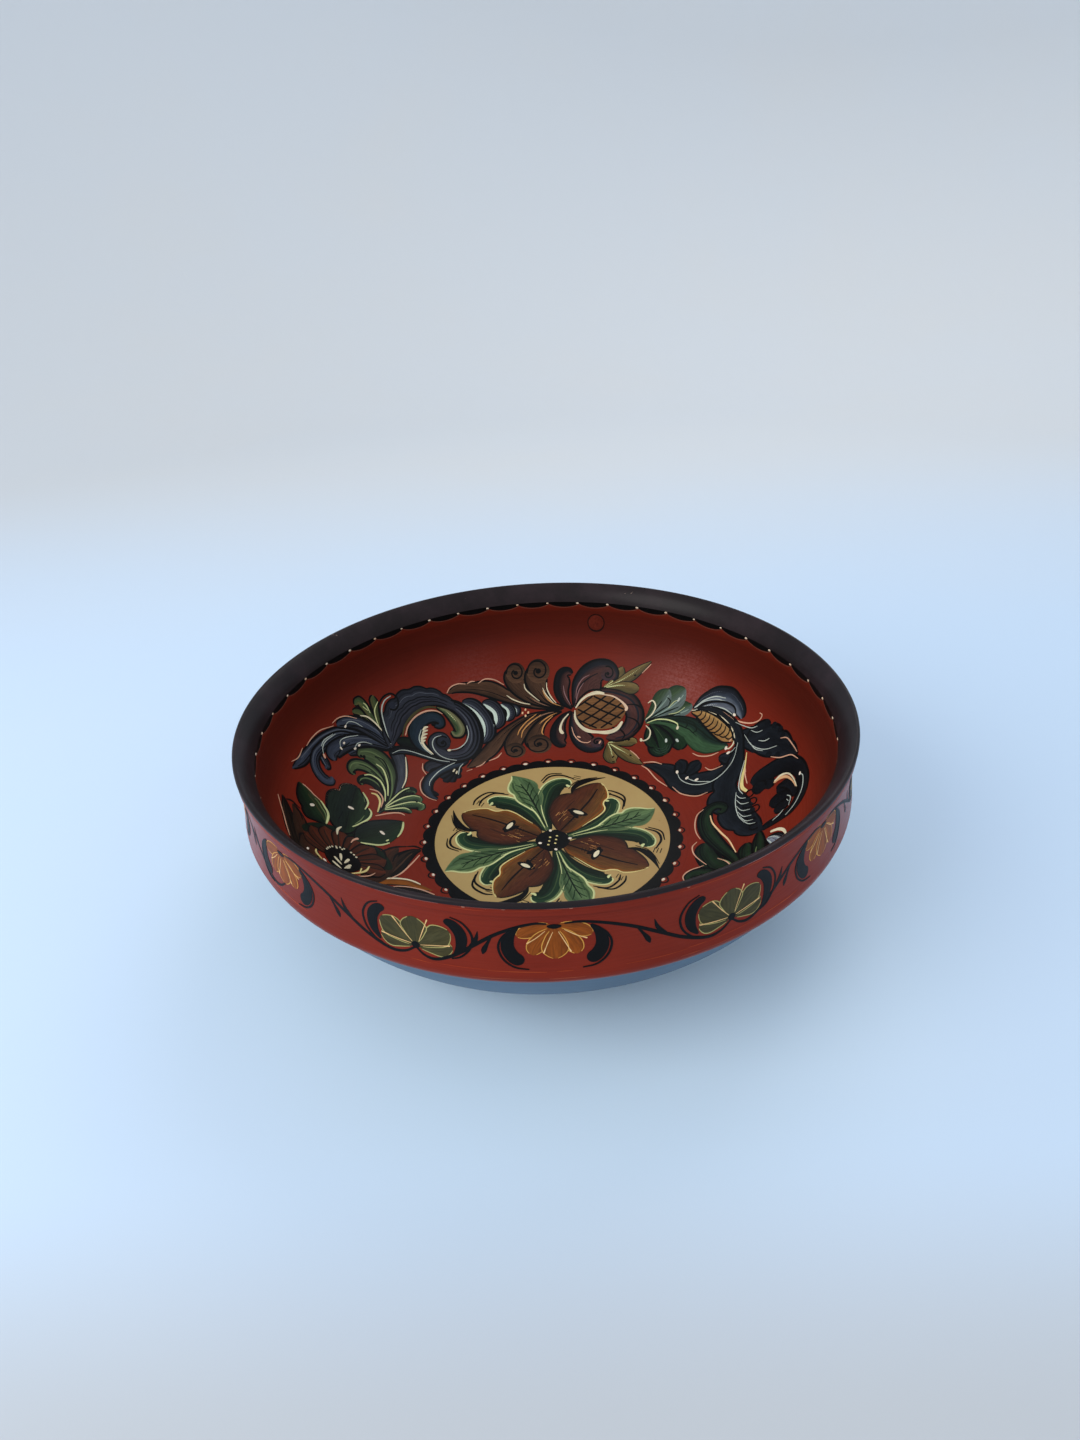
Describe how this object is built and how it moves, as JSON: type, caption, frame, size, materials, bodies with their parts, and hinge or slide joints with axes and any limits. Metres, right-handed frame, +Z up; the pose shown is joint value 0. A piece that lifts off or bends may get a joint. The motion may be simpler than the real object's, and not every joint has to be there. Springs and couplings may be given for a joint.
{
  "type": "painted wooden bowl",
  "caption": "Turned painted wooden bowl with a bevelled dark lip, a banded side, a rounded underside on a foot ring, and a dowel plugging its hanging hole.",
  "frame": {"origin": "centre of the foot's underside, on the surface the bowl stands on", "axes": "+Z up along the turning axis, -Y towards the picture's viewer, +X to the viewer's right"},
  "size_m": [0.3072, 0.3072, 0.102],
  "materials": {
    "red_painted_wood": "satin oil paint under varnish",
    "plug_painted_wood": "satin oil paint under varnish",
    "umber_lip_paint": "satin oil paint",
    "blue_grey_paint": "satin oil paint",
    "cream_paint": "satin oil paint",
    "black_line_paint": "satin oil paint",
    "white_dot_paint": "satin oil paint",
    "leaf_paint": "satin oil paint",
    "scroll_paint": "satin oil paint",
    "petal_paint": "satin oil paint"
  },
  "bodies": {
    "root": {"bowl_body": "red_painted_wood", "hanging_hole_plug": "plug_painted_wood"}
  },
  "joints": []
}
